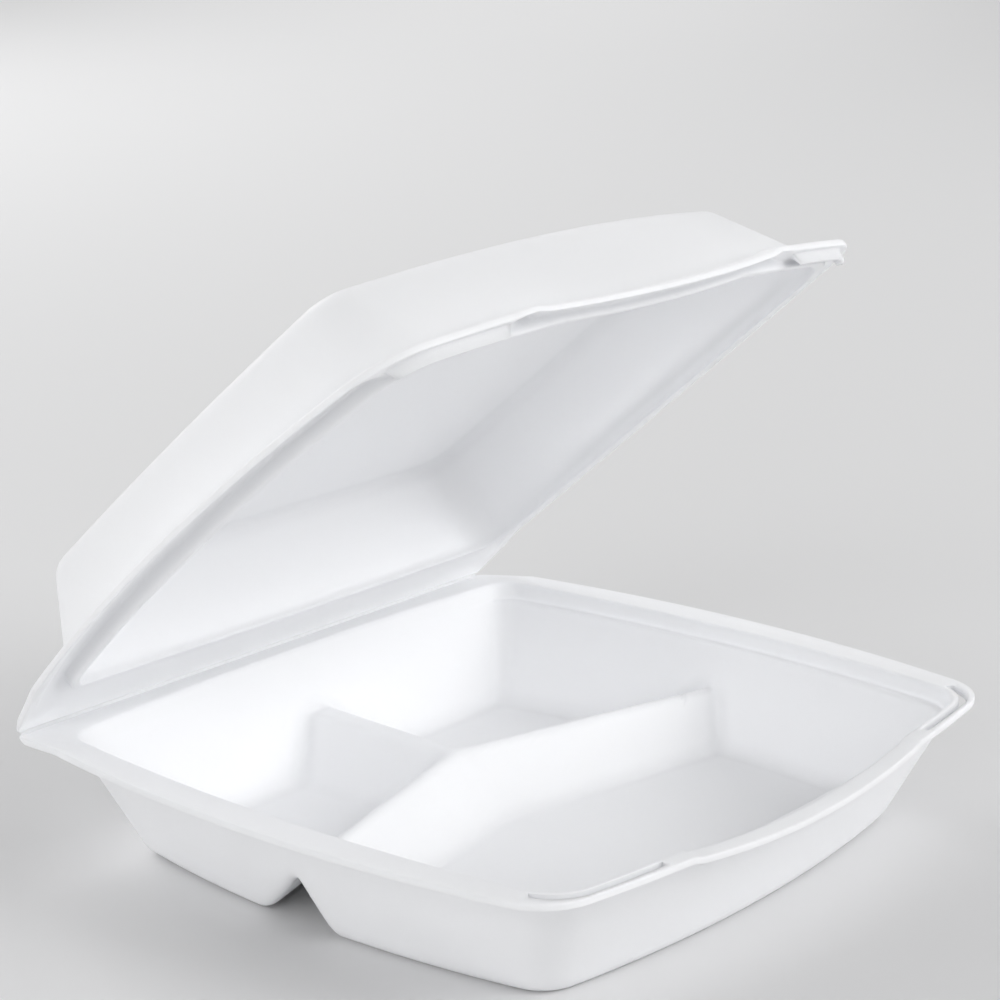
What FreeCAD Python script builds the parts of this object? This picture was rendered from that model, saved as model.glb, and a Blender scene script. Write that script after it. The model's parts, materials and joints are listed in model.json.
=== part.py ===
"""Hinged foam food container with three compartments: tray and lid, one STEP file each."""
import FreeCAD, Part
import math
import os

V = FreeCAD.Vector

# ---- overall sizes (mm) -------------------------------------------------------------------------
WIDTH = 238.0            # across the rims, side to side
DEPTH = 211.6            # fold to the middle of the front rim
TRAY_HEIGHT = 38.4       # resting plane to the top of the tray flange
LID_HEIGHT = 34.6        # rim plane to the outside of the lid roof
FOAM = 2.2               # sheet thickness
LID_ANGLE = 41.46        # how far the lid stands open

# ---- rim outline, shared by the tray and the lid -------------------------------------------------
RIM_SIDE_BOW = 12.5
RIM_FRONT_BOW = 13.7
RIM_FRONT_RADIUS = 19.5
RIM_HINGE_RADIUS = 6.0
FLANGE_SIDE = 11.5       # flange width at the middle of each side
FLANGE_FRONT = 6.4
FLANGE_HINGE = 12.3
FOLD_DROP = 2.5          # the fold lies this far below the top of the tray flange
SLOPE_WIDTH = 11.8       # the flanges slope down to the fold over this width
FOLD_BEVEL = 4.0         # and thin out over this width
FOLD_SKIN = 0.44         # thickness left along the fold
FRONT_DIP = 3.8          # the front rim sinks by this much at its middle
EAR_LENGTH = 64.0        # the flat corner ears take up this much of each half of the front
EAR_STEP = 0.8           # the ears stand this much above the ends of the dip

# ---- tray bowl -----------------------------------------------------------------------------------
LEDGE_DEPTH = 5.0        # step in the tray wall below the mouth
LEDGE_WIDTH = 2.0
MOUTH_DRAFT = 11.0       # degrees
TRAY_SIDE_DRAFT = 22.7
TRAY_FRONT_DRAFT = 24.0
TRAY_HINGE_DRAFT = 26.4
MOUTH_CORNER = 15.5      # plan radius of the front corners at the mouth
BOTTOM_ROUND = 4.0       # outside, along the resting plane
NOTCH_ROUND = 8.0        # outside, where the walls turn into the ridge's hollow

# ---- ridge that parts the compartments ------------------------------------------------------------
RIDGE_HEIGHT = 20.0      # resting plane to the top of the ridge
RIDGE_TOP = 3.4          # width of its crest
RIDGE_FORK = 79.3        # the arms meet this far in front of the fold
ARM_SLOPE = 0.27         # the arms come forward by this much for each mm sideways
ARM_FRONT_FOOT = 16.5    # run of the face towards the large compartment, at the fork
ARM_FRONT_TWIST = 0.087  # and how much less it runs for each mm sideways
ARM_BACK_FOOT = 15.5
STEM_FOOT = 15.0
FORK_ROUND = 8.0
STEM_FLARE = 0.055       # half-width gained for each mm towards the fold

# ---- lid -----------------------------------------------------------------------------------------
LID_SIDE_DRAFT = 23.0
LID_FRONT_DRAFT = 31.5
LID_HINGE_DRAFT = 16.5
LID_ARCH = 2.7           # the side flanges rise by this much at mid-length
LID_CORNER_BASE = 23.0   # plan radius of the dome's front corners at the flange
LID_CORNER_TOP = 10.0
ROOF_ROUND = 4.0
PLUG_DROP = 2.0          # the plug hangs this far under the lid flange
PLUG_STOP = 18.0         # and ends this far short of the fold
PLUG_GAP = 0.5           # clearance between the plug and the tray mouth
SEAT_GAP = 0.3           # clearance between the two flanges when the lid is shut

# ---- corner catches: lips under the lid's front corners drop into slots in the tray flange -------
SLOT_WIDTH = 2.4
SLOT_INSET = 1.6         # tray mouth to the slot
SLOT_SPAN = (55.0, 21.8) # the slot keeps this far from the side plane and from the front plane
LIP_THICKNESS = 1.4
LIP_DROP = 3.4           # below the lid flange
TAB_INSET = (17.0, 11.3) # thumb corners, from the side plane and from the front plane

FOLD_Y = DEPTH / 2
FRONT_Y = -DEPTH / 2
HALF = WIDTH / 2
FOLD_GAP = 0.2
FORK_Y = FOLD_Y - RIDGE_FORK
EAR_START = HALF - EAR_LENGTH
SLOT_START = HALF - SLOT_SPAN[0]
SLOT_END = DEPTH / 2 - SLOT_SPAN[1]
TAB_CORNER = (HALF - TAB_INSET[0], DEPTH / 2 - TAB_INSET[1])
ROUND_STEPS = ((0.0, 0.66), (0.17, 0.11), (0.61, 0.0))   # height and inset round an edge, in radii


def run(height, degrees):
    return height * math.tan(math.radians(degrees))


def meet(a, ra, b, rb, toward):
    """Crossing point of two circles that lies furthest in the given direction."""
    d = b - a
    k = (d.Length ** 2 + ra ** 2 - rb ** 2) / (2 * d.Length)
    h = math.sqrt(max(ra ** 2 - k ** 2, 0.0))
    u = d.normalize()
    return max((a + u * k + V(-u.y, u.x, 0) * h * s for s in (1, -1)), key=toward.dot)


def corner(a, ra, b, rb, r, toward):
    """Rounded corner inside two big arcs: touch point on a, middle, touch point on b."""
    c = meet(a, ra - r, b, rb - r, toward)
    ta = c + (c - a).normalize() * r
    tb = c + (c - b).normalize() * r
    mid = c + ((ta - c) + (tb - c)).normalize() * r
    return ta, mid, tb


def outline(half, front, back, side_bow, front_bow, back_bow, front_r, back_r, z):
    """Closed wire with bowed sides and rounded corners, at height z."""
    yc, c = (front + back) / 2, (back - front) / 2
    rs = (c * c + side_bow ** 2) / (2 * side_bow)
    rf = (half ** 2 + front_bow ** 2) / (2 * front_bow)
    rb = (half ** 2 + back_bow ** 2) / (2 * back_bow)
    side, fore, aft = V(half - rs, yc, 0), V(0, front + rf, 0), V(0, back - rb, 0)
    f = corner(fore, rf, side, rs, front_r, V(1, -1, 0))
    b = corner(side, rs, aft, rb, back_r, V(1, 1, 0))
    up = V(0, 0, z)

    def flip(p):
        return V(-p.x, p.y, p.z)

    ring = [(flip(f[0]), V(0, front, 0), f[0]), f, (f[2], V(half, yc, 0), b[0]), b,
            (b[2], V(0, back, 0), flip(b[2])), (flip(b[2]), flip(b[1]), flip(b[0])),
            (flip(b[0]), V(-half, yc, 0), flip(f[2])), (flip(f[2]), flip(f[1]), flip(f[0]))]
    return Part.Wire([Part.Arc(p + up, q + up, s + up).toShape() for p, q, s in ring])


def rim(z, inset=0.0):
    return outline(HALF - inset, FRONT_Y + inset, FOLD_Y - FOLD_GAP, RIM_SIDE_BOW, RIM_FRONT_BOW, 0.02,
                   RIM_FRONT_RADIUS, RIM_HINGE_RADIUS, z)


def mouth(side, front, hinge, z, bow=8.0, front_r=None):
    """Outline of the tray mouth or the lid dome, drawn in from the flange crest."""
    front_r = front_r or max(MOUTH_CORNER - 0.2 * side, 6.0)
    return outline(HALF - FLANGE_SIDE - side, FRONT_Y + FLANGE_FRONT + front, FOLD_Y - FLANGE_HINGE - hinge,
                   bow, 10.2 - 0.03 * front, max(5.0 - 0.3 * hinge, 0.3),
                   front_r, max(16.0 - 0.25 * hinge, 6.0), z)


def loft(wires):
    return Part.makeLoft(wires, True, True)


def prism(wire, height):
    return Part.Face(wire).extrude(V(0, 0, height))


def block_between(x0, x1, y0, y1, z0, z1):
    return Part.makeBox(x1 - x0, y1 - y0, z1 - z0, V(x0, y0, z0))


def mirrored(shape):
    return shape.mirror(V(0, 0, 0), V(1, 0, 0))


def rounded(solid, radius, pick, name):
    """Round the picked edges of a solid."""
    edges = [e for e in solid.Edges if pick(e)]
    done = solid.makeFillet(radius, edges)
    if not done.isValid() or len(done.Solids) != 1:
        raise ValueError("rounding failed: " + name)
    return done


# ---- tray ----------------------------------------------------------------------------------------
def tray_section(z, skin, inset=0.0):
    """Outline of the tray wall at height z: its inside (skin 0) or its outside (skin FOAM)."""
    ledge = TRAY_HEIGHT - LEDGE_DEPTH
    fall = ledge - min(z, ledge)
    step = LEDGE_WIDTH if z < ledge - 0.01 else 0.0
    upper = run(TRAY_HEIGHT - max(z, ledge), MOUTH_DRAFT) + step
    side = upper + run(fall, TRAY_SIDE_DRAFT) - skin / math.cos(math.radians(TRAY_SIDE_DRAFT))
    front = upper + run(fall, TRAY_FRONT_DRAFT) - skin / math.cos(math.radians(TRAY_FRONT_DRAFT))
    hinge = run(TRAY_HEIGHT - z, TRAY_HINGE_DRAFT) - skin / math.cos(math.radians(TRAY_HINGE_DRAFT))
    return mouth(side + inset, front + inset, hinge + inset, z, 8.0 + 0.12 * side)


def ridge_wire(z, inset):
    """Y-shaped outline of the ridge at height z; inset draws every face in."""
    down = (RIDGE_HEIGHT - z) / (RIDGE_HEIGHT - FOAM)
    reach, far = HALF + 10, FOLD_Y + 10
    lean = ARM_SLOPE - ARM_FRONT_TWIST * down
    f0 = FORK_Y - RIDGE_TOP / 2 - ARM_FRONT_FOOT * down + inset * math.hypot(1, lean)
    b0 = FORK_Y + RIDGE_TOP / 2 + ARM_BACK_FOOT * down - inset * math.hypot(1, ARM_SLOPE)
    s0 = RIDGE_TOP / 2 + STEM_FOOT * down - inset
    flare = STEM_FLARE * (1 - down * 0.6)
    x = (s0 + flare * (b0 - FORK_Y)) / (1 + flare * ARM_SLOPE)
    right = [V(reach, f0 - lean * reach, z), V(reach, b0 - ARM_SLOPE * reach, z), V(x, b0 - ARM_SLOPE * x, z),
             V(s0 + flare * (far - FORK_Y), far, z)]
    left = [V(-p.x, p.y, p.z) for p in reversed(right)]
    return Part.makePolygon([V(0, f0, z)] + right + left + [V(0, f0, z)])


def fork_edge(e):
    """The upright edges of the ridge at the fork: one in front, two behind."""
    box = e.BoundBox
    return box.ZLength > 5 and max(abs(box.XMin), abs(box.XMax)) < 40 and box.YMax < 60


def ridge(top, inset):
    """Solid ridge from below the tray up to height top, its fork corners rounded."""
    body = loft([ridge_wire(-4.0, inset), ridge_wire(top, inset)])
    return rounded(body, FORK_ROUND - inset * 0.8, fork_edge, "fork")


def wall_ends(foot):
    """Picks the upright edges, from height foot, where the ridge runs into the side and hinge walls."""
    def pick(e):
        box = e.BoundBox
        far, near = max(abs(box.XMin), abs(box.XMax)), min(abs(box.XMin), abs(box.XMax))
        side = near > HALF * 0.66 and max(abs(box.YMin), abs(box.YMax)) < DEPTH * 0.19
        stem = box.YMin > DEPTH * 0.3 and far < HALF * 0.32
        return box.ZLength > 8 and box.ZMin < foot + 0.1 and (side or stem)
    return pick


def tray_hollow():
    """Everything above the inner skin: the bowl less the ridge."""
    ledge = TRAY_HEIGHT - LEDGE_DEPTH
    bowl = loft([tray_section(z, 0.0) for z in (FOAM, ledge - 0.4, ledge, TRAY_HEIGHT + 6)])
    pockets = bowl.cut(ridge(RIDGE_HEIGHT, 0.0))
    return rounded(pockets, NOTCH_ROUND - FOAM, wall_ends(FOAM), "pocket corners")


def tray_block():
    """Everything inside the outer skin, up to the flange."""
    ledge = TRAY_HEIGHT - LEDGE_DEPTH - FOAM
    bowl = loft([tray_section(z, FOAM) for z in (0.0, ledge, ledge + 1.5, TRAY_HEIGHT - 0.5)])
    block = bowl.cut(ridge(RIDGE_HEIGHT - FOAM, FOAM * 1.18))
    block = rounded(block, NOTCH_ROUND, wall_ends(0.0), "notch corners")
    foot = loft([tray_section(h * BOTTOM_ROUND, FOAM, inset * BOTTOM_ROUND) for h, inset in ROUND_STEPS])
    slab = block_between(-HALF, HALF, FRONT_Y, FOLD_Y, 0, ROUND_STEPS[-1][0] * BOTTOM_ROUND)
    return block.cut(slab.cut(foot))


def dip_curve(level, end):
    """Curve of the sunken front rim, from one corner ear to the other."""
    x, y = end + 0.4, FRONT_Y - 20
    return Part.Arc(V(-x, y, level - EAR_STEP), V(0, y, level - FRONT_DIP), V(x, y, level - EAR_STEP)).toShape()


def dip_band(low, high, end=EAR_START):
    """Curved slab along the front, between the dip curves of two levels."""
    a, b = dip_curve(low, end), dip_curve(high, end)
    ends = [Part.makeLine(a.Vertexes[i].Point, b.Vertexes[i].Point) for i in (0, 1)]
    face = Part.Face(Part.Wire(Part.__sortEdges__([a, b] + ends)))
    return face.extrude(V(0, 45, 0))


def front_gap(end=EAR_START):
    """Space taken out of a flat flange where the rim dips."""
    return block_between(-end, end, FRONT_Y - 20, FRONT_Y + 25, 0, TRAY_HEIGHT + 60)


def rim_prism():
    return prism(rim(TRAY_HEIGHT - 20), 40)


def catch_band(inner, outer, z0, z1, start, end):
    """Curved strip that follows the right front corner of the mouth."""
    inside = prism(mouth(-inner, -inner, -inner, z0 - 1), z1 - z0 + 2)
    ring = prism(mouth(-outer, -outer, -outer, z0), z1 - z0).cut(inside)
    return ring.common(block_between(start, HALF, FRONT_Y - 5, -end, z0 - 1, z1 + 1))


def arch_lift(y):
    return LID_ARCH * (1 - (y / FOLD_Y) ** 2)


def fold_slope(z, lift, thin_top):
    """Strip of flange that slopes down to the fold and thins out there; z is its underside."""
    y0, y2 = FOLD_Y - SLOPE_WIDTH, FOLD_Y - FOLD_GAP
    y1 = y2 - FOLD_BEVEL
    start, end = z + lift, z - FOLD_DROP
    bend = start + (end - start) * (y1 - y0) / (y2 - y0)
    if thin_top:
        pts = [(y0, start), (y2, end), (y2, end + FOLD_SKIN), (y1, bend + FOAM), (y0, start + FOAM)]
    else:
        pts = [(y0, start), (y1, bend), (y2, end + FOAM - FOLD_SKIN), (y2, end + FOAM), (y0, start + FOAM)]
    face = Part.Face(Part.makePolygon([V(-HALF - 5, y, h) for y, h in pts + pts[:1]]))
    return face.extrude(V(WIDTH + 10, 0, 0)).common(rim_prism())


def flat_part(flange):
    """A flange without the strip along the fold."""
    return flange.cut(block_between(-WIDTH, WIDTH, FOLD_Y - SLOPE_WIDTH, FOLD_Y + 10, 0, TRAY_HEIGHT + 60))


def tray():
    under = TRAY_HEIGHT - FOAM
    flange = flat_part(prism(rim(under), FOAM).cut(front_gap()))
    dip = dip_band(under, TRAY_HEIGHT).common(rim_prism())
    wall = tray_block().cut(dip_band(TRAY_HEIGHT, TRAY_HEIGHT + 20))
    solid = wall.fuse([flange, fold_slope(under, 0.0, False), dip]).cut(tray_hollow())
    slot = catch_band(SLOT_INSET, SLOT_INSET + SLOT_WIDTH, under - 4, TRAY_HEIGHT + 2, SLOT_START, SLOT_END)
    return solid.cut([slot, mirrored(slot)]).removeSplitter()


# ---- lid, drawn shut over the tray -----------------------------------------------------------------
def lid_section(h, skin, inset=0.0):
    """Outline of the lid dome at height h above the rim plane."""
    side = run(h, LID_SIDE_DRAFT) + skin / math.cos(math.radians(LID_SIDE_DRAFT))
    front = run(h, LID_FRONT_DRAFT) + skin / math.cos(math.radians(LID_FRONT_DRAFT))
    hinge = run(h, LID_HINGE_DRAFT) + skin / math.cos(math.radians(LID_HINGE_DRAFT))
    corner_r = LID_CORNER_BASE + (LID_CORNER_TOP - LID_CORNER_BASE) * h / LID_HEIGHT - skin
    bow = 8.0 - 4.0 * h / LID_HEIGHT
    return mouth(side + inset, front + inset, hinge + inset, TRAY_HEIGHT + h, bow, corner_r)


def plug_section(drop, skin):
    """Outline of the lid plug at a depth below the rim plane."""
    inset = run(drop, MOUTH_DRAFT) + PLUG_GAP + skin
    corner_r = LID_CORNER_BASE - skin if skin else None
    return mouth(inset, inset, inset, TRAY_HEIGHT - drop, 8.0 + 0.12 * inset, corner_r)


def lid_hollow():
    """Everything inside the lid's inner skin."""
    plug = [plug_section(drop, FOAM) for drop in (PLUG_DROP + 2, -0.8)]
    return loft(plug + [lid_section(LID_HEIGHT - FOAM, FOAM)])


def side_arch(low, high):
    """Slab between two lifts over the seat, rising gently towards the middle of the sides."""
    z = TRAY_HEIGHT + SEAT_GAP
    lines = []
    for lift in (low, high):
        lines.append(Part.Arc(V(-HALF - 5, FOLD_Y, z + lift), V(-HALF - 5, 0, z + lift + LID_ARCH),
                              V(-HALF - 5, FRONT_Y, z + lift)).toShape())
    lines += [Part.makeLine(lines[0].Vertexes[i].Point, lines[1].Vertexes[i].Point) for i in (0, 1)]
    return Part.Face(Part.Wire(Part.__sortEdges__(lines))).extrude(V(WIDTH + 10, 0, 0))


def thumb_corner():
    """The right front corner of the lid flange, squared off into a small tab."""
    x, y = TAB_CORNER
    z = TRAY_HEIGHT + SEAT_GAP + 0.2
    lip = SLOT_INSET + (SLOT_WIDTH + LIP_THICKNESS) / 2
    start = SLOT_START - 5
    pts = [(start, -y + 6), (start, FRONT_Y + FLANGE_FRONT - lip + 3.1), (x, -y), (x + 3.5, -y + 10),
           (x - 4, -y + 13)]
    return Part.Face(Part.makePolygon([V(px, py, z) for px, py in pts + pts[:1]])).extrude(V(0, 0, FOAM))


def catch_lip():
    inner = SLOT_INSET + (SLOT_WIDTH - LIP_THICKNESS) / 2
    z = TRAY_HEIGHT + SEAT_GAP
    return catch_band(inner, inner + LIP_THICKNESS, z - LIP_DROP, z + 1.0, SLOT_START + 1, SLOT_END + 1)


def lid_shut():
    seat = TRAY_HEIGHT + SEAT_GAP
    dip_end = EAR_START - 0.8
    flange = flat_part(side_arch(0.0, FOAM).common(rim_prism()).cut(front_gap(dip_end)))
    slope = fold_slope(seat, arch_lift(FOLD_Y - SLOPE_WIDTH), True)
    dip = dip_band(seat, seat + FOAM, dip_end).common(rim_prism())
    roof = [lid_section(LID_HEIGHT - h * ROOF_ROUND, 0.0, inset * ROOF_ROUND)
            for h, inset in reversed(ROUND_STEPS)]
    dome = loft([lid_section(0.0, 0.0)] + roof)
    plug = loft([plug_section(PLUG_DROP + 1, 0.0), plug_section(-6.0, 0.0)]).cut(side_arch(FOAM / 2, 30))
    near_fold = block_between(-HALF, HALF, FOLD_Y - PLUG_STOP, FOLD_Y, 0, TRAY_HEIGHT + 60)
    plug = plug.cut([side_arch(-30, -PLUG_DROP), side_arch(-30, 0.5).common(near_fold)])
    dome = dome.cut(side_arch(-30, FOAM / 2))
    tabs = [f(s) for s in (thumb_corner(), catch_lip()) for f in (lambda q: q, mirrored)]
    return dome.fuse([plug, flange, slope, dip] + tabs).cut(lid_hollow()).removeSplitter()


def lid():
    """The lid turned about the fold to where it stands open."""
    body = lid_shut()
    body.rotate(V(0, FOLD_Y, TRAY_HEIGHT - FOLD_DROP), V(1, 0, 0), -LID_ANGLE)
    return body


if __name__ == "__main__":
    os.makedirs("parts", exist_ok=True)
    for name, make in (("base_tray", tray), ("lid", lid)):
        solid = make()
        print(name, solid.isValid(), len(solid.Solids), round(solid.Volume), solid.BoundBox)
        solid.exportStep("parts/" + name + ".step")
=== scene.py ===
"""White foam food container with three compartments: surfaces, finish, light and camera."""
import json
import math

import bmesh
import bpy
import numpy as np
from mathutils import Matrix, Vector


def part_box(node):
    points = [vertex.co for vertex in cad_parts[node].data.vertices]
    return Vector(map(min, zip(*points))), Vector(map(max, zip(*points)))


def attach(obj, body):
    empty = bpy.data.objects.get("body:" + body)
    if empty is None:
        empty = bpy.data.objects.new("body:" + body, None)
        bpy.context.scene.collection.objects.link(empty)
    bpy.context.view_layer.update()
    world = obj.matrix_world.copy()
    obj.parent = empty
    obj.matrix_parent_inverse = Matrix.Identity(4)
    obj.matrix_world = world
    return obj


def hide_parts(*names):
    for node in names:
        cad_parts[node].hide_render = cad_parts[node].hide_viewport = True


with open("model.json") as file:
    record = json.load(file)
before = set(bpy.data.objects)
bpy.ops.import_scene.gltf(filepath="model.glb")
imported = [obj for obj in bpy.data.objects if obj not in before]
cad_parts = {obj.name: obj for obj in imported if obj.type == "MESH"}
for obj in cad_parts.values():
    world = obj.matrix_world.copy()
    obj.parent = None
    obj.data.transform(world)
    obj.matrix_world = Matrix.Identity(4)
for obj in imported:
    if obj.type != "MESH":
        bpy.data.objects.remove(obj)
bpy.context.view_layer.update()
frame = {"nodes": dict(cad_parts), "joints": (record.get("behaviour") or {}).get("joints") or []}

# ---- sizes (mm), the driving ones read from the frame ------------------------------------------
MM = 0.001
TRAY_HIGH = np.array(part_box("base_tray")[1]) / MM
HINGE = next(j for j in frame["joints"] if j["name"] == "lid_hinge")
HALF = TRAY_HIGH[0]
TRAY_HEIGHT = TRAY_HIGH[2]
FOLD_Y = HINGE["pos_m"][1] / MM
FOLD_Z = HINGE["pos_m"][2] / MM
FRONT_Y = -FOLD_Y
FOAM = 2.2
LID_HEIGHT = 34.6
LID_ANGLE = math.radians(41.46)
SEAT_GAP = 0.3

RIM_SIDE_BOW, RIM_FRONT_BOW, RIM_HINGE_BOW = 12.5, 13.7, 0.02
RIM_FRONT_RADIUS, RIM_HINGE_RADIUS = 19.5, 2.5
FLANGE_SIDE, FLANGE_FRONT, FLANGE_HINGE = 11.5, 6.4, 12.3
FRONT_DIP, EAR_START, EAR_STEP = 3.8, 55.0, 0.8
# the flanges stop at the land, just short of the fold they slope down and thin out to
FOLD_LAND, FOLD_DROP, FOLD_BEVEL, FOLD_SKIN = 0.2, TRAY_HEIGHT - FOLD_Z, 4.0, 0.44
SLOPE_WIDTH, SLOPE_SPREAD = 11.8, 9.0
BEAD_RADIUS, FOLD_REACH = 1.2, 104.5
MOUTH_BOW, MOUTH_FRONT_BOW, MOUTH_HINGE_BOW = 8.0, 10.2, 5.0
LEDGE_DEPTH, LEDGE_WIDTH, MOUTH_DRAFT = 5.0, 2.0, 11.0
TRAY_SIDE_DRAFT, TRAY_FRONT_DRAFT, TRAY_HINGE_DRAFT = 22.7, 24.0, 26.4
LID_SIDE_DRAFT, LID_FRONT_DRAFT, LID_HINGE_DRAFT = 23.0, 31.5, 16.5
LID_CORNER_BASE, LID_CORNER_TOP, MOUTH_CORNER = 23.0, 10.0, 15.5
TRAY_HINGE_CORNER, LID_HINGE_CORNER = 9.0, 16.0
LID_ARCH, PLUG_GAP, PLUG_DROP, PLUG_END = 2.7, 0.5, 2.0, 94.0
GROOVE_DEPTH, GROOVE_FADE, GROOVE_END = 2.5, 80.0, 93.0
SLOT_INSET, SLOT_WIDTH, SLOT_START, SLOT_END = 1.8, 2.1, 64.0, 84.0
LIP_DROP, LIP_SLACK = 3.4, 3.0
# the thumb tabs: straight edges beyond the round corner, and a point to measure outwards from
THUMB_CENTRE, THUMB_START, THUMB_REACH = (86.0, -80.0), (62.0, -82.0), 60
THUMB_EDGES = (((59.0, -99.8), (102.0, -94.5)), ((102.0, -94.5), (105.5, -84.5)))

RIDGE_HEIGHT, RIDGE_TOP, FORK_Y = 20.0, 3.4, 26.5
ARM_SLOPE, ARM_FRONT_FOOT, ARM_FRONT_TWIST = 0.27, 16.5, 0.087
ARM_BACK_FOOT, STEM_FOOT, STEM_FLARE = 15.5, 15.0, 0.055
FLOOR_MIDDLE = (0.0, -20.0)

# points round a ring: front, front corner, side, hinge corner, hinge edge, and back round again
SPANS = (84, 20, 112, 20, 90, 20, 112, 20)


def run(height, degrees):
    return height * math.tan(math.radians(degrees))


# ---- rings: closed loops of points that all parts of a formed sheet are stretched over ----------
def meet(a, ra, b, rb, toward):
    """Crossing point of two circles that lies furthest in the given direction."""
    d = np.linalg.norm(b - a)
    u = (b - a) / d
    k = (d * d + ra * ra - rb * rb) / (2 * d)
    h = math.sqrt(max(ra * ra - k * k, 0.0))
    return max((a + u * k + np.array([-u[1], u[0]]) * h * s for s in (1, -1)), key=lambda p: p @ toward)


def arc(centre, radius, start, end, count):
    """Points along an arc from start towards end, the end itself left out."""
    a0 = math.atan2(*(start - centre)[::-1])
    a1 = math.atan2(*(end - centre)[::-1])
    turn = (a1 - a0 + math.pi) % (2 * math.pi) - math.pi
    angles = a0 + turn * np.arange(count) / count
    return centre + radius * np.stack([np.cos(angles), np.sin(angles)], 1)


def outline(half, front, back, side_bow, front_bow, back_bow, front_r, back_r):
    """Loop with bowed sides and rounded corners, anticlockwise from the left end of the front."""
    yc, c = (front + back) / 2, (back - front) / 2
    rs = (c * c + side_bow ** 2) / (2 * side_bow)
    rf = (half ** 2 + front_bow ** 2) / (2 * front_bow)
    rb = (half ** 2 + back_bow ** 2) / (2 * back_bow)
    side, fore, aft = np.array([half - rs, yc]), np.array([0, front + rf]), np.array([0, back - rb])
    fc = meet(fore, rf - front_r, side, rs - front_r, np.array([1, -1]))
    bc = meet(side, rs - back_r, aft, rb - back_r, np.array([1, 1]))

    def touch(corner, centre, r):
        return corner + (corner - centre) / np.linalg.norm(corner - centre) * r

    f0, f1 = touch(fc, fore, front_r), touch(fc, side, front_r)
    b0, b1 = touch(bc, side, back_r), touch(bc, aft, back_r)
    flip = np.array([-1, 1])
    pieces = [(fore, rf, f0 * flip, f0), (fc, front_r, f0, f1), (side, rs, f1, b0), (bc, back_r, b0, b1),
              (aft, rb, b1, b1 * flip), (bc * flip, back_r, b1 * flip, b0 * flip),
              (side * flip, rs, b0 * flip, f1 * flip), (fc * flip, front_r, f1 * flip, f0 * flip)]
    return np.concatenate([arc(*piece, count) for piece, count in zip(pieces, SPANS)])


def ring(loop, z):
    return np.column_stack([loop, np.full(len(loop), float(z))])


def rim(z):
    return ring(outline(HALF, FRONT_Y, FOLD_Y - FOLD_LAND, RIM_SIDE_BOW, RIM_FRONT_BOW, RIM_HINGE_BOW,
                        RIM_FRONT_RADIUS, RIM_HINGE_RADIUS), z)


def mouth(side, front, hinge, z, bow=MOUTH_BOW, front_r=None, hinge_r=LID_HINGE_CORNER):
    """Ring drawn in from the flange crest by its own amount at the sides, front and hinge."""
    front_r = front_r or max(MOUTH_CORNER - 0.2 * side, 6.0)
    return ring(outline(HALF - FLANGE_SIDE - side, FRONT_Y + FLANGE_FRONT + front,
                        FOLD_Y - FLANGE_HINGE - hinge, bow, MOUTH_FRONT_BOW - 0.03 * front,
                        max(MOUTH_HINGE_BOW - 0.3 * hinge, 0.3),
                        front_r, max(hinge_r - 0.2 * hinge, 5.0)), z)


def round_off(controls):
    """Rings swept past the control rings, each with its own rounding and number of steps.

    A control is (ring, rounding, steps round the bend, steps on the way to the next control).
    """

    def toward(here, goal, distance):
        away = np.linalg.norm(goal - here, axis=1, keepdims=True)
        return here + (goal - here) * np.minimum(0.45, distance / np.maximum(away, 1e-6))

    rings = []
    last = len(controls) - 1
    for i, (here, radius, bend, onward) in enumerate(controls):
        leave = here
        if radius and 0 < i < last:
            enter, leave = (toward(here, controls[k][0], radius) for k in (i - 1, i + 1))
            for t in np.linspace(0, 1, bend + 1)[:-1]:
                rings.append((1 - t) ** 2 * enter + 2 * t * (1 - t) * here + t * t * leave)
        rings.append(leave)
        if i < last:
            goal, goal_radius = controls[i + 1][:2]
            if goal_radius and i + 1 < last:
                goal = toward(goal, here, goal_radius)
            for t in np.linspace(0, 1, onward + 1)[1:-1]:
                rings.append(leave + (goal - leave) * t)
    return rings


def fill_in(edge, centre, steps):
    """Rings shrinking from an edge ring to a centre, on the level of the edge."""
    middle = np.append(np.array(centre, float), edge[0, 2])
    return [middle + (edge - middle) * s for s in np.linspace(1, 0.015, steps + 1)[1:]]


# ---- soft joins ---------------------------------------------------------------------------------
def soft_max(a, b, r):
    """The larger of two heights, with the crease between them filled over about r."""
    h = np.clip(0.5 + 0.5 * (a - b) / r, 0, 1)
    return b + (a - b) * h + r * h * (1 - h)


def soft_min(a, b, r):
    return -soft_max(-a, -b, r)


def smooth_step(low, high, v):
    t = np.clip((v - low) / (high - low), 0, 1)
    return t * t * (3 - 2 * t)


# ---- heights of the ridge and of the rims ---------------------------------------------------------
def ridge_height(x, y, crest, inset, crest_round):
    """Height of the Y-shaped ridge over a point of the floor; inset draws every face in."""
    ax = np.sqrt(x * x + 9.0) - 1.0
    fall = RIDGE_HEIGHT - FOAM
    front_top = FORK_Y - RIDGE_TOP / 2 - ARM_SLOPE * ax + inset
    front_run = ARM_FRONT_FOOT - ARM_FRONT_TWIST * ax
    front = RIDGE_HEIGHT - (front_top - y) / np.maximum(front_run, 5.0) * fall
    back_top = FORK_Y + RIDGE_TOP / 2 - ARM_SLOPE * ax - inset
    arms = RIDGE_HEIGHT - (y - back_top) / ARM_BACK_FOOT * fall
    stem_top = RIDGE_TOP / 2 - inset + STEM_FLARE * np.maximum(y - FORK_Y, 0)
    stem_run = STEM_FOOT - STEM_FLARE * 0.6 * np.maximum(y - FORK_Y, 0)
    stem = RIDGE_HEIGHT - (np.abs(x) - stem_top) / stem_run * fall
    body = soft_min(front, soft_max(arms, stem, 7.0), 1.0)
    return soft_min(body, np.full_like(body, crest), crest_round)


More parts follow.
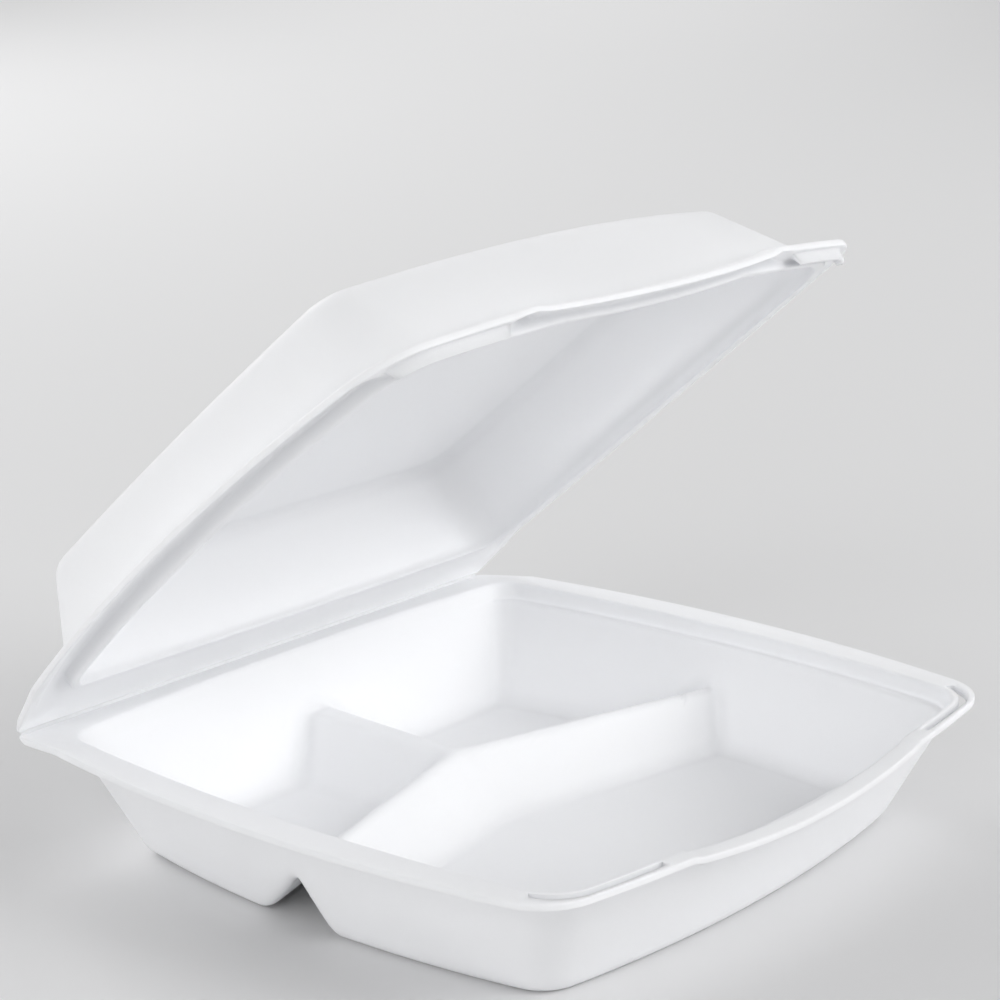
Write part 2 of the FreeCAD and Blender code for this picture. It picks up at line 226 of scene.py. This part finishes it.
def front_dip(p):
    """How far the middle of the front rim sinks below the corner ears."""
    ax = np.abs(p[:, 0])
    bow = EAR_STEP + (FRONT_DIP - EAR_STEP) * (1 - np.clip(ax / EAR_START, 0, 1) ** 2)
    return bow * (1 - smooth_step(EAR_START - 0.6, EAR_START + 1.2, ax)) * (p[:, 1] < -70)


def side_arch(p):
    """How far the lid's side flanges rise towards the middle of their length."""
    return LID_ARCH * (1 - (np.minimum(p[:, 1], FOLD_Y - SLOPE_WIDTH) / FOLD_Y) ** 2)


def slope(p):
    """0 to 1 across the strip of flange that slopes down to the fold, wider at its two ends."""
    width = SLOPE_WIDTH + SLOPE_SPREAD * smooth_step(HALF - 22.0, HALF - 12.0, np.abs(p[:, 0]))
    return np.clip((p[:, 1] - FOLD_Y + width) / (width - FOLD_LAND), 0, 1)


def tray_rim_drop(p):
    """Height of the tray's flange over its flat part, zero or less."""
    return -front_dip(p) - FOLD_DROP * slope(p)


def lid_rim_lift(p):
    """Height of the shut lid's flange over its seat."""
    return side_arch(p) * (1 - slope(p)) - front_dip(p) - FOLD_DROP * slope(p)


def fold_thin(p):
    """Share of the foam's thickness that is left towards the fold."""
    bevel_start = FOLD_Y - FOLD_LAND - FOLD_BEVEL
    return 1 - (1 - FOLD_SKIN / FOAM) * np.clip((p[:, 1] - bevel_start) / FOLD_BEVEL, 0, 1)


def groove(p):
    """How far the lid's flange is formed up into a shallow channel round its plug."""
    clear_of_hinge = 1 - smooth_step(GROOVE_FADE, GROOVE_END, p[:, 1])
    ear = (smooth_step(SLOT_START - 7, SLOT_START + 2, np.abs(p[:, 0]))
           * smooth_step(SLOT_END - 7, SLOT_END + 2, -p[:, 1]))
    return GROOVE_DEPTH * clear_of_hinge * (1 - ear)


def catch_window(p, slack=0.0):
    """1 along the front corners where the catches are, 0 elsewhere."""
    along_front = smooth_step(SLOT_START + slack, SLOT_START + slack + 1.5, np.abs(p[:, 0]))
    return along_front * smooth_step(SLOT_END + slack, SLOT_END + slack + 1.5, -p[:, 1])


# ---- meshes ---------------------------------------------------------------------------------------
def skin_over(name, rings, holes=()):
    """Closed mesh over the rings, its two ends capped.

    A hole is (ring before it on top, ring before it underneath, columns), and its edge is walled round.
    """
    n, count = len(rings[0]), len(rings)
    points = np.concatenate(rings) * MM

    def at(r, c):
        return r * n + c % n

    open_cells = {(r, c % n) for top, under, columns in holes for r in (top, under) for c in columns}
    faces = [(at(r, c), at(r, c + 1), at(r + 1, c + 1), at(r + 1, c))
             for r in range(count - 1) for c in range(n) if (r, c) not in open_cells]
    faces += [tuple(at(0, c) for c in reversed(range(n))), tuple(at(count - 1, c) for c in range(n))]
    for top, under, columns in holes:
        for c in columns:
            faces.append((at(top, c), at(under + 1, c), at(under + 1, c + 1), at(top, c + 1)))
            faces.append((at(top + 1, c), at(top + 1, c + 1), at(under, c + 1), at(under, c)))
        for c in (columns[0], columns[-1] + 1):
            faces.append((at(top, c), at(top + 1, c), at(under, c), at(under + 1, c)))
    mesh = bpy.data.meshes.new(name)
    mesh.from_pydata([tuple(p) for p in points], [], faces)
    shape = bmesh.new()
    shape.from_mesh(mesh)
    bmesh.ops.remove_doubles(shape, verts=shape.verts, dist=2e-6)
    bmesh.ops.recalc_face_normals(shape, faces=shape.faces)
    shape.to_mesh(mesh)
    shape.free()
    mesh.polygons.foreach_set("use_smooth", [True] * len(mesh.polygons))
    piece = bpy.data.objects.new(name, mesh)
    bpy.context.scene.collection.objects.link(piece)
    return piece


def tray_ring(z, skin):
    """Ring of the tray wall at height z, on its inside (skin 0) or its outside (skin FOAM)."""
    ledge = TRAY_HEIGHT - LEDGE_DEPTH
    fall = ledge - min(z, ledge)
    upper = run(TRAY_HEIGHT - max(z, ledge), MOUTH_DRAFT) + (LEDGE_WIDTH if z < ledge - 0.01 else 0.0)
    side = upper + run(fall, TRAY_SIDE_DRAFT) - skin / math.cos(math.radians(TRAY_SIDE_DRAFT))
    front = upper + run(fall, TRAY_FRONT_DRAFT) - skin / math.cos(math.radians(TRAY_FRONT_DRAFT))
    hinge = run(TRAY_HEIGHT - z, TRAY_HINGE_DRAFT) - skin / math.cos(math.radians(TRAY_HINGE_DRAFT))
    return mouth(side, front, hinge, z, MOUTH_BOW + 0.12 * side, hinge_r=TRAY_HINGE_CORNER)


def tray_mouth(outset, z):
    return mouth(-outset, -outset, -outset, z, hinge_r=TRAY_HINGE_CORNER)


def lerp(a, b, t):
    return a + (b - a) * t


def make_tray():
    """Tray from the middle of its floor, up the wall, round the rim and back under the floor."""
    top, under = TRAY_HEIGHT, TRAY_HEIGHT - FOAM
    ledge = top - LEDGE_DEPTH
    floor, foot = tray_ring(FOAM, 0.0), tray_ring(0.0, FOAM)
    slot_in, slot_out = tray_mouth(SLOT_INSET, top), tray_mouth(SLOT_INSET + SLOT_WIDTH, top)
    edge = rim(top)
    near_edge = lerp(slot_out, edge, 0.6)
    sheet = np.array([0, 0, FOAM])
    inside = round_off([(lerp(floor, np.array([*FLOOR_MIDDLE, FOAM]), 0.08), 0, 0, 1), (floor, 5.0, 6, 16),
                        (tray_ring(ledge - 0.5, 0.0), 1.2, 3, 1), (tray_ring(ledge, 0.0), 0.9, 3, 3),
                        (tray_mouth(0, top), 1.6, 6, 1), (slot_in, 0, 0, 1)])[:-1]
    flange_top = [slot_in.copy(), slot_out.copy(), near_edge.copy()]
    turn = round_off([(near_edge, 0, 0, 1), (edge, 0.9, 3, 1), (rim(under), 0.9, 3, 1),
                      (near_edge - sheet, 0, 0, 1)])[1:-1]
    flange_under = [near_edge - sheet, slot_out - sheet, slot_in - sheet]
    outside = round_off([(flange_under[-1], 0, 0, 1), (tray_ring(under, FOAM), 0.8, 2, 2),
                         (tray_ring(ledge - FOAM + 1.5, FOAM), 1.2, 3, 1),
                         (tray_ring(ledge - FOAM, FOAM), 1.2, 3, 14), (foot, 4.5, 6, 1),
                         (lerp(foot, np.array([*FLOOR_MIDDLE, 0.0]), 0.08), 0, 0, 1)])[1:]
    for r in inside + outside:
        r[:, 2] += tray_rim_drop(r) * smooth_step(ledge - 1.0, top - FOAM, r[:, 2])
    for r in flange_top + turn + flange_under:
        r[:, 2] = top - (top - r[:, 2]) * fold_thin(r) + tray_rim_drop(r)
    inside = fill_in(inside[0], FLOOR_MIDDLE, 62)[::-1] + inside
    outside = outside + fill_in(outside[-1], FLOOR_MIDDLE, 42)
    for r in inside:
        r[:, 2] = soft_max(r[:, 2], ridge_height(r[:, 0], r[:, 1], RIDGE_HEIGHT + 0.3, 0.0, 2.0), 4.0)
    for r in outside:
        hollow = ridge_height(r[:, 0], r[:, 1], RIDGE_HEIGHT - FOAM, FOAM * 1.18, 1.5)
        r[:, 2] = soft_max(r[:, 2], hollow, 6.0)
    rings = inside + flange_top + turn + flange_under + outside
    slot_top, slot_under = len(inside), len(inside) + len(flange_top) + len(turn) + 1
    in_slot = catch_window(slot_out) > 0.5
    holes = []
    for start in range(len(in_slot)):
        if in_slot[start] and not in_slot[start - 1]:
            columns = []
            while in_slot[(start + len(columns)) % len(in_slot)]:
                columns.append(start + len(columns))
            holes.append((slot_top, slot_under, columns[:-1]))
    return skin_over("foam_tray", rings, holes)


def lid_ring(h, skin):
    """Ring of the lid dome at height h over the rim plane."""
    side = run(h, LID_SIDE_DRAFT) + skin / math.cos(math.radians(LID_SIDE_DRAFT))
    front = run(h, LID_FRONT_DRAFT) + skin / math.cos(math.radians(LID_FRONT_DRAFT))
    hinge = run(h, LID_HINGE_DRAFT) + skin / math.cos(math.radians(LID_HINGE_DRAFT))
    corner = LID_CORNER_BASE + (LID_CORNER_TOP - LID_CORNER_BASE) * h / LID_HEIGHT - skin
    return mouth(side, front, hinge, TRAY_HEIGHT + h, MOUTH_BOW * (1 - h / LID_HEIGHT / 2), corner)


def plug_ring(drop, skin):
    """Ring of the plug that hangs into the tray's mouth, by its depth below the mouth."""
    inset = run(drop, MOUTH_DRAFT) + PLUG_GAP + skin
    corner = LID_CORNER_BASE - skin if skin else None
    return mouth(inset, inset, inset, TRAY_HEIGHT - drop, MOUTH_BOW + 0.12 * inset, corner)


def thumb_corners(r):
    """The rim ring with its two front corners squared off into small tabs."""
    out = r.copy()
    for s in (1, -1):
        centre = np.array(THUMB_CENTRE) * (s, 1)
        reach = r[:, :2] - centre
        radius = np.linalg.norm(reach, axis=1)
        way = reach / radius[:, None]
        tab = np.full(len(r), 1e3)
        for a, b in THUMB_EDGES:
            a, b = np.array(a) * (s, 1), np.array(b) * (s, 1)
            normal = np.array([b[1] - a[1], a[0] - b[0]])
            facing, off = way @ normal, (a - centre) @ normal
            distance = off / np.where(facing == 0, 1, facing)
            tab = np.where(facing * off > 1e-6, np.minimum(tab, distance), tab)
        corner = (r[:, 0] * s > THUMB_START[0]) & (r[:, 1] < THUMB_START[1]) & (tab < THUMB_REACH)
        out[:, :2] = np.where((corner & (tab > radius))[:, None], centre + way * tab[:, None], out[:, :2])
    return out


def make_lid():
    """Lid from the middle of its roof, down to the rim and back up inside; built shut, then opened."""
    seat, high = TRAY_HEIGHT + SEAT_GAP, TRAY_HEIGHT + SEAT_GAP + FOAM
    base, roof, ceiling = lid_ring(0.0, 0.0), lid_ring(LID_HEIGHT, 0.0), lid_ring(LID_HEIGHT - FOAM, FOAM)
    crease = lerp(base, roof, ((SEAT_GAP + FOAM + lid_rim_lift(base) + groove(base)) / LID_HEIGHT)[:, None])
    rims = [thumb_corners(rim(z)) for z in (high, seat)]
    catch = [mouth(-d, -d, -d, seat) for d in (SLOT_INSET + SLOT_WIDTH - 0.4, SLOT_INSET + 0.3)]
    plug_top = plug_ring(-SEAT_GAP, 0.0)
    for r in (*rims, *catch, plug_top):
        r[:, 2] = seat + (r[:, 2] - seat) * fold_thin(r) + lid_rim_lift(r)
    shallow = 1 - smooth_step(PLUG_END - 10, PLUG_END, plug_top[:, 1])
    foot = [plug_ring(PLUG_DROP - SEAT_GAP, skin) for skin in (0.0, FOAM)]
    for r in foot:
        r[:, 2] = seat + side_arch(r) - np.maximum(PLUG_DROP * shallow, front_dip(r))
    brow = plug_ring(-0.8, FOAM)
    brow[:, 2] = foot[1][:, 2] + PLUG_DROP + 0.8
    lip = [r - np.outer(LIP_DROP * catch_window(r, LIP_SLACK), (0, 0, 1)) for r in catch]
    over, under = lerp(rims[0], crease, 0.5), lerp(rims[1], catch[0], 0.5)
    for r, edge, thick in ((over, rims[0], FOAM), (under, rims[1], 0.0)):
        sloping = seat + thick * fold_thin(r) + lid_rim_lift(r)
        r[:, 2] = np.where(slope(edge) > 0, sloping, edge[:, 2]) + 0.7 * groove(edge)
    for r in (*catch, *lip, plug_top):
        r[:, 2] += groove(r)
    outer = round_off([(inward(roof, 0.1), 0, 0, 1), (roof, 4.5, 6, 14), (crease, 2.0, 4, 1),
                       (over, 1.0, 3, 1), (rims[0], 0.8, 3, 1), (rims[1], 0.8, 3, 1), (under, 1.0, 3, 1),
                       (catch[0], 0, 0, 1)])
    plug = round_off([(catch[1], 0, 0, 1), (plug_top, 0.5, 2, 2), (foot[0], 1.0, 3, 1),
                      (foot[1], 1.0, 3, 2), (brow, 1.5, 3, 12), (ceiling, 3.5, 6, 1),
                      (inward(ceiling, 0.1), 0, 0, 1)])[1:]
    rings = outer + lip + [catch[1].copy()] + plug
    rings = fill_in(rings[0], (0, 0), 6)[::-1] + rings + fill_in(rings[-1], (0, 0), 6)
    lid = skin_over("foam_lid", rings)
    to_fold = Matrix.Translation((0, FOLD_Y * MM, FOLD_Z * MM))
    lid.data.transform(to_fold @ Matrix.Rotation(-LID_ANGLE, 4, "X") @ to_fold.inverted())
    return lid


def inward(r, share):
    """A level ring drawn in towards the middle."""
    return lerp(r, np.array([0, 0, r[0, 2]]), share)


def make_crease():
    """Thin bead of pressed foam along the fold, where tray and lid are one sheet."""
    turns = np.linspace(0, 2 * math.pi, 24, endpoint=False)
    section = BEAD_RADIUS * np.column_stack([np.cos(turns), np.sin(turns)])
    rings = [np.column_stack([np.full(len(turns), reach * FOLD_REACH), (FOLD_Y, FOLD_Z) + section * size])
             for reach, size in ((-1, 0.3), (-0.995, 1), (-0.5, 1), (0, 1), (0.5, 1), (0.995, 1), (1, 0.3))]
    return skin_over("fold_crease", rings)


# ---- finish, with painted shade in the creases ------------------------------------------------------
FOAM_WHITE = (0.945, 0.95, 0.965, 1)
# painted shade: this grey is mixed into the foam's colour where the surface is hemmed in, standing in for
# the shade in creases and grooves; the foam itself is white all over
PAINTED_SHADE_GREY = (0.30, 0.31, 0.34, 1)
PAINTED_SHADE_REACH, PAINTED_SHADE_DARKEST, PAINTED_SHADE_FADE = 0.007, 0.2, 0.64


def foam_with_painted_shade(name):
    """White formed foam: a satin skin that lets a little light in, with painted shade greying its colour
    deep in its creases.
    """
    material = bpy.data.materials.new(name)
    material.use_nodes = True
    nodes, links = material.node_tree.nodes, material.node_tree.links
    shader = nodes["Principled BSDF"]
    shader.inputs["Base Color"].default_value = FOAM_WHITE
    shader.inputs["Roughness"].default_value = 0.5
    shader.inputs["Specular IOR Level"].default_value = 0.35
    shader.subsurface_method = "BURLEY"
    shader.inputs["Subsurface Weight"].default_value = 0.4
    shader.inputs["Subsurface Radius"].default_value = (0.005, 0.005, 0.005)
    shader.inputs["Subsurface Scale"].default_value = 1.0
    # Painted shade: ambient occlusion within the reach turns the base colour towards the grey, darkest in
    # deep creases and the lid's groove
    shade = nodes.new("ShaderNodeAmbientOcclusion")
    shade.only_local = True
    shade.samples = 2
    shade.inputs["Distance"].default_value = PAINTED_SHADE_REACH
    depth = nodes.new("ShaderNodeMapRange")
    depth.inputs["From Min"].default_value = PAINTED_SHADE_DARKEST
    depth.inputs["From Max"].default_value = PAINTED_SHADE_FADE
    painted_shade_mix = nodes.new("ShaderNodeMix")
    painted_shade_mix.data_type = "RGBA"
    painted_shade_mix.inputs["A"].default_value = PAINTED_SHADE_GREY
    painted_shade_mix.inputs["B"].default_value = FOAM_WHITE
    links.new(shade.outputs["AO"], depth.inputs["Value"])
    links.new(depth.outputs["Result"], painted_shade_mix.inputs["Factor"])
    links.new(painted_shade_mix.outputs["Result"], shader.inputs["Base Color"])
    return material


def plain_finish(name, colour, roughness):
    material = bpy.data.materials.new(name)
    material.use_nodes = True
    shader = material.node_tree.nodes["Principled BSDF"]
    shader.inputs["Base Color"].default_value = (*colour, 1)
    shader.inputs["Roughness"].default_value = roughness
    return material


foam = foam_with_painted_shade("white_foam_painted_shade")
tray = make_tray()
lid = make_lid()
crease = make_crease()
for piece, body, slot in ((tray, "tray", "tray_foam"), (lid, "cover", "lid_foam"),
                          (crease, "tray", "tray_foam")):
    piece.data.materials.append(foam)
    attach(piece, body)
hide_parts("base_tray")
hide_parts("lid")
for node in frame["nodes"].values():
    node.data.materials.clear()
    node.data.materials.append(foam)


# ---- studio -------------------------------------------------------------------------------------------
def softbox(name, place, target, size, power):
    lamp = bpy.data.lights.new(name, "AREA")
    lamp.shape, lamp.size, lamp.energy = "SQUARE", size, power
    box = bpy.data.objects.new(name, lamp)
    box.location = place
    box.rotation_euler = (Vector(target) - Vector(place)).to_track_quat("-Z", "Y").to_euler()
    bpy.context.scene.collection.objects.link(box)


def studio_floor():
    bpy.ops.mesh.primitive_plane_add(size=12, location=(0, 0, 0))
    floor = bpy.context.object
    floor.name = "studio_floor"
    floor.data.materials.append(plain_finish("pale_floor", (0.79, 0.79, 0.795), 0.8))


studio_floor()
for lamp_name, lamp_place, aim, lamp_size, watts in (
        ("front_box", (0.9, -1.85, 1.1), (0, 0, 0.05), 1.4, 27),
        ("high_front_box", (0.0, -1.3, 1.9), (0, 0, 0.05), 1.4, 4),
        ("left_box", (-2.0, -0.5, 0.9), (0, 0, 0.05), 1.4, 18),
        ("left_back_box", (-1.6, 1.2, 1.3), (0, 0, 0.1), 1.2, 6),
        ("right_box", (2.0, -0.5, 1.0), (0, 0, 0.05), 1.4, 9),
        ("back_box", (0.3, 2.0, 1.2), (0, 0, 0.1), 1.4, 24),
        ("far_floor_box", (2.4, 2.0, 1.2), (2.4, 2.0, 0.0), 1.8, 18)):
    softbox(lamp_name, lamp_place, aim, lamp_size, watts)
world = bpy.data.worlds.new("soft_room")
world.use_nodes = True
world.node_tree.nodes["Background"].inputs["Color"].default_value = (1, 1, 1, 1)
world.node_tree.nodes["Background"].inputs["Strength"].default_value = 0.12
bpy.context.scene.world = world
bpy.context.scene.view_settings.view_transform = "Standard"


# ---- camera ---------------------------------------------------------------------------------------------
CAMERA_PLACE = (-0.6166, -0.4861, 0.3228)
CAMERA_HEADING, CAMERA_PITCH, CAMERA_ROLL = 51.161, -15.537, 0.548
CAMERA_LENS = 100.27


def add_camera():
    """Camera over the left front corner; its heading is clockwise from +Y, in degrees."""
    heading, pitch, roll = (math.radians(a) for a in (-CAMERA_HEADING, 90 + CAMERA_PITCH, CAMERA_ROLL))
    camera = bpy.data.objects.new("camera", bpy.data.cameras.new("camera"))
    camera.matrix_world = (Matrix.Translation(CAMERA_PLACE) @ Matrix.Rotation(heading, 4, "Z")
                           @ Matrix.Rotation(pitch, 4, "X") @ Matrix.Rotation(roll, 4, "Z"))
    camera.data.sensor_width = 36.0
    camera.data.lens = CAMERA_LENS
    bpy.context.scene.collection.objects.link(camera)
    bpy.context.scene.camera = camera


add_camera()
